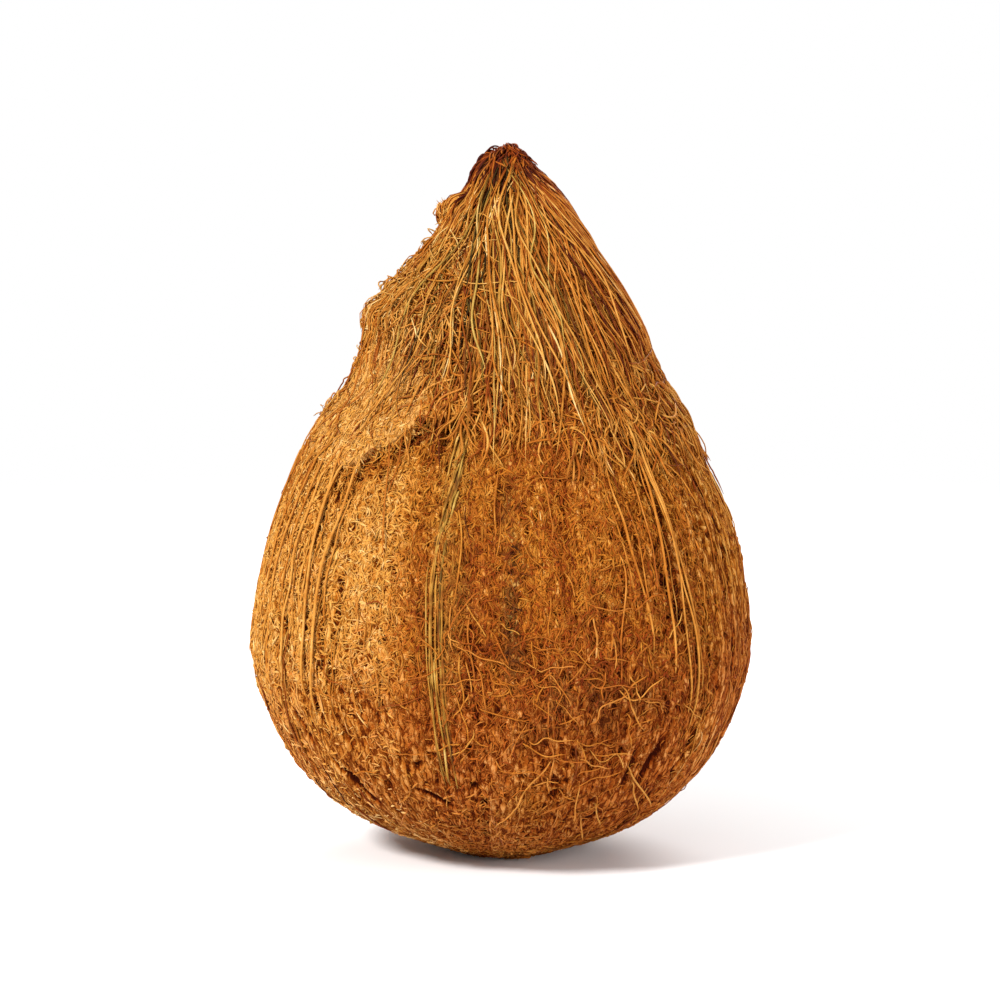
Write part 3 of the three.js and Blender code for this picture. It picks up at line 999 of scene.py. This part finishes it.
def make_crumbs(draw, name):
    points, count = 4, CRUMBS_IN_LOT
    turn = draw.uniform(0, 2 * math.pi, count)
    share = draw.uniform(share_at(128), 0.94, count)
    room = np.interp(share, skin_share, skin_radius) / skin_radius.max()
    roomy = draw.uniform(0, 1, count) < room
    moved = np.where(draw.uniform(0, 1, count) < 0.6, share_at(60), share_at(112))
    share = np.where(roomy, share, moved + draw.normal(0, 0.06, count))
    rubbed = draw.uniform(0, 1, count) < 0.8 * worn(turn, share)
    turn = np.where(rubbed, draw.normal(-0.1, 0.7, count), turn)
    share = np.where(rubbed, share_at(draw.uniform(46, 106, count)), share)
    height, bare = height_at(share), bare_patch(turn, height_at(share))
    heading = draw.normal(0, 0.5, count) * (1 + 1.2 * bare)
    heading = heading[:, None] + wander(draw, count, points, 1, 0.75)
    length = np.minimum(1.0 + draw.exponential(1.8, count), 8)
    turns, shares = trail(turn, height, heading, length)
    top = felt_top(turns, shares)
    tilt = draw.normal(0, 0.25, count)[:, None] * np.linspace(-0.5, 0.5, points)
    lift = 0.5 * top + 0.5 * top.mean(1, keepdims=True) + tilt
    lift = lift + draw.normal(0.03, 0.17, count)[:, None]
    lift = lift - (0.22 * worn(turn, share) + 0.35 * cracked(turn, share))[:, None]
    wide = (0.27 + 0.38 * draw.uniform(0, 1, count) ** 2) * (1 - 0.45 * ease(length, 2, 6))
    wide = wide[:, None] * taper(points, 0.35, 0.35)
    wide = wide * draw.uniform(0.75, 1.25, (count, points))
    stain = staining(turn, share)
    # Painted light: the crumbs are lighter low down near the base, and lighter on the left, most of
    # all low on the left, where part of the lightness is their own golden colour. Painted shade:
    # they are darker in the cracks and in the hollow under the rim. Paler on the bare mat, darker
    # where stained, and the streaks, are their own colour.
    tone = draw.normal(0.38, 0.07, count) + 0.31 * bare - 0.25 * stain + 0.13 * ease(height, 34, 14)
    tone = tone + 0.1 * patchy(turn, share) * (1 - bare) - 0.4 * cracked(turn, share)
    tone = tone - 0.35 * hollow_under_rim(turn, share)
    tone = tone + (0.03 + 0.1 * ease(height, 60, 30)) * golden_and_lit_left(turn) * (1 - bare)
    rust = np.clip(rustiness(turn, share) + draw.normal(0, 0.25, count), 0, 1)
    green = 0.25 * near(from_front(turn), -13, 3) * ease(height, 30, 60)
    straw = np.clip(draw.uniform(-0.1, 0.2, count) + 0.4 * stain + green, 0, 1)
    return strand_mesh(name, turns, shares, lift, wide, tone, straw, rust, 1)


# Broken coir has lost its wax, and looks dull beside the long strands.
dull_coir = combed_coir("dull_coir", 0.8)
for number in range(CRUMB_LOTS):
    crumbs = make_crumbs(draw, f"felt_crumbs_{number + 1}")
    crumbs.data.materials.append(dull_coir)
    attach(crumbs, "root")


# The loose hairs: single fine fibres torn free at one end. They curl over the lower front,
# cross the shoulder, and a few poke out over the base.
LONG_HAIRS = (  # turn, height, heading in degrees from straight down, length, stand, thickness
    (47, 106, 52, 30, 0.3, 0.45), (47, 108, 74, 15, 0.6, 0.4), (33, 28, 42, 15, 2.2, 0.45),
    (36, 24, 28, 9, 2.0, 0.4), (20, 25, 6, 12, 1.6, 0.35), (12, 31, -32, 24, 1.0, 0.4),
    (24, 16, 18, 8, 1.8, 0.35), (27, 19, 25, 7, 1.5, 0.35), (-30, 126, -24, 34, 0.4, 0.4),
    (-26, 124, -30, 30, 0.5, 0.35), (-33, 128, -20, 28, 0.5, 0.4), (89, 35, 70, 5, 1.6, 0.4),
)


CURLED_HAIRS, CROSSING_HAIRS = 140, 120


def make_hairs(draw):
    points, curled, crossing = 26, CURLED_HAIRS, CROSSING_HAIRS
    side, at_height, way, reach, out, thick = np.array(LONG_HAIRS).T
    long = len(LONG_HAIRS)
    turn = draw.normal(8, 20, curled), draw.uniform(-180, 180, crossing), side
    height = draw.normal(44, 14, curled), draw.uniform(96, 140, crossing), at_height
    way = np.radians(way)
    heading = draw.uniform(-math.pi, math.pi, curled), draw.normal(0, 0.8, crossing), way
    length = draw.uniform(4, 14, curled), draw.uniform(10, 30, crossing), reach
    curl = draw.uniform(0.15, 0.6, curled), np.full(crossing, 0.3), np.full(long, 0.12)
    stand = draw.uniform(0, 0.9, curled), draw.uniform(0, 0.8, crossing), out
    wide = draw.uniform(0.22, 0.38, curled), draw.uniform(0.22, 0.38, crossing), thick
    every = turn, height, heading, length, curl, stand, wide
    turn, height, heading, length, curl, stand, wide = (np.concatenate(part) for part in every)
    count = len(turn)
    heading = heading[:, None] + wander(draw, count, points, 4, 1.0) * curl[:, None]
    turns, shares = trail(np.radians(turn), np.clip(height, 14, 145), heading, length)
    at = np.linspace(0, 1, points)
    rest = np.maximum(felt_top(turns, shares), -0.3) + 0.25
    rest = rest + 0.85 * ease(height_at(shares), 102, 114)
    lift = rest + np.abs(wander(draw, count, points, 2, 0.3)) - 0.6 * (1 - ease(at, 0, 0.12))
    aside = np.abs(from_front(turns))
    beside = ease(aside, 45, 65) * ease(aside, 125, 105)
    lift = lift + stand[:, None] * ease(at, 0.35, 1) * (1 - 0.8 * beside)
    wide = wide[:, None] * taper(points, 0.08, 0.2)
    tone = draw.normal(0.46, 0.1, count)
    tone[-long:] = 0.62
    rust = np.clip(draw.normal(0.4, 0.25, count), 0, 1)
    straw = draw.uniform(0, 0.15, count)
    return strand_mesh("loose_hairs", turns, shares, lift, wide, tone, straw, rust, 6)


hairs = make_hairs(draw)
hairs.data.materials.append(waxy_coir)
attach(hairs, "root")


# The studio: one soft key light high on the left in front, weaker light from the right and
# from behind, and white paper under the fruit that fades out into a white room.
LIGHTS = (  # name, place and width in metres, watts
    ("key_light", (-0.70, -0.84, 0.80), 0.28, 24),
    ("right_light", (0.95, -0.60, 0.30), 0.8, 9),
    ("back_light", (0.35, 0.95, 0.75), 0.8, 12),
)
LIGHT_AIM = Vector((0, 0, 0.07))
PAPER_HALF = 0.7
PAPER_FADE = 0.26, 0.66  # metres from the middle
ROOM_GLOW = 0.5  # as a light: to look at, the room is white


def hang_light(name, place, size, watts):
    data = bpy.data.lights.new(name, "AREA")
    data.shape = "DISK"
    data.size = size
    data.energy = watts
    light = add_object(name, data)
    light.location = place
    light.rotation_mode = "QUATERNION"
    light.rotation_quaternion = (LIGHT_AIM - Vector(place)).to_track_quat("-Z", "Y")


def lay_paper():
    mesh = bpy.data.meshes.new("studio_paper")
    ends = -PAPER_HALF, PAPER_HALF
    mesh.from_pydata([(x, y, low.z) for x in ends for y in ends], [], [(0, 2, 3, 1)])
    paper = add_object("studio_paper", mesh)
    # Plain drawing paper: matt, nearly white, and faded out to nothing at its edges.
    material, tree, shader = new_material("white_paper", 0.9, 0.5)
    shader.inputs["Base Color"].default_value = linear("#f6f6f6")
    place = add_node(tree, "TexCoord", out="Object")
    away = add_node(tree, "VectorMath", {0: place}, out="Value", operation="LENGTH")
    faded = {"Value": away, "From Min": PAPER_FADE[0], "From Max": PAPER_FADE[1]}
    faded = add_node(tree, "MapRange", faded, interpolation_type="SMOOTHSTEP")
    clear = add_node(tree, "BsdfTransparent")
    edge = add_node(tree, "MixShader", {0: faded, 1: shader.outputs[0], 2: clear})
    tree.links.new(edge, tree.nodes["Material Output"].inputs["Surface"])
    mesh.materials.append(material)


def light_room():
    room = bpy.data.worlds.new("white_room")
    room.use_nodes = True
    tree = room.node_tree
    seen = add_node(tree, "LightPath", out="Is Camera Ray")
    strength = add_node(tree, "MapRange", {"Value": seen, "To Min": ROOM_GLOW, "To Max": 1.0})
    tree.links.new(strength, tree.nodes["Background"].inputs["Strength"])
    tree.nodes["Background"].inputs["Color"].default_value = linear("#ffffff")
    bpy.context.scene.world = room
    bpy.context.scene.view_settings.view_transform = "Standard"


for light_facts in LIGHTS:
    hang_light(*light_facts)
lay_paper()
light_room()
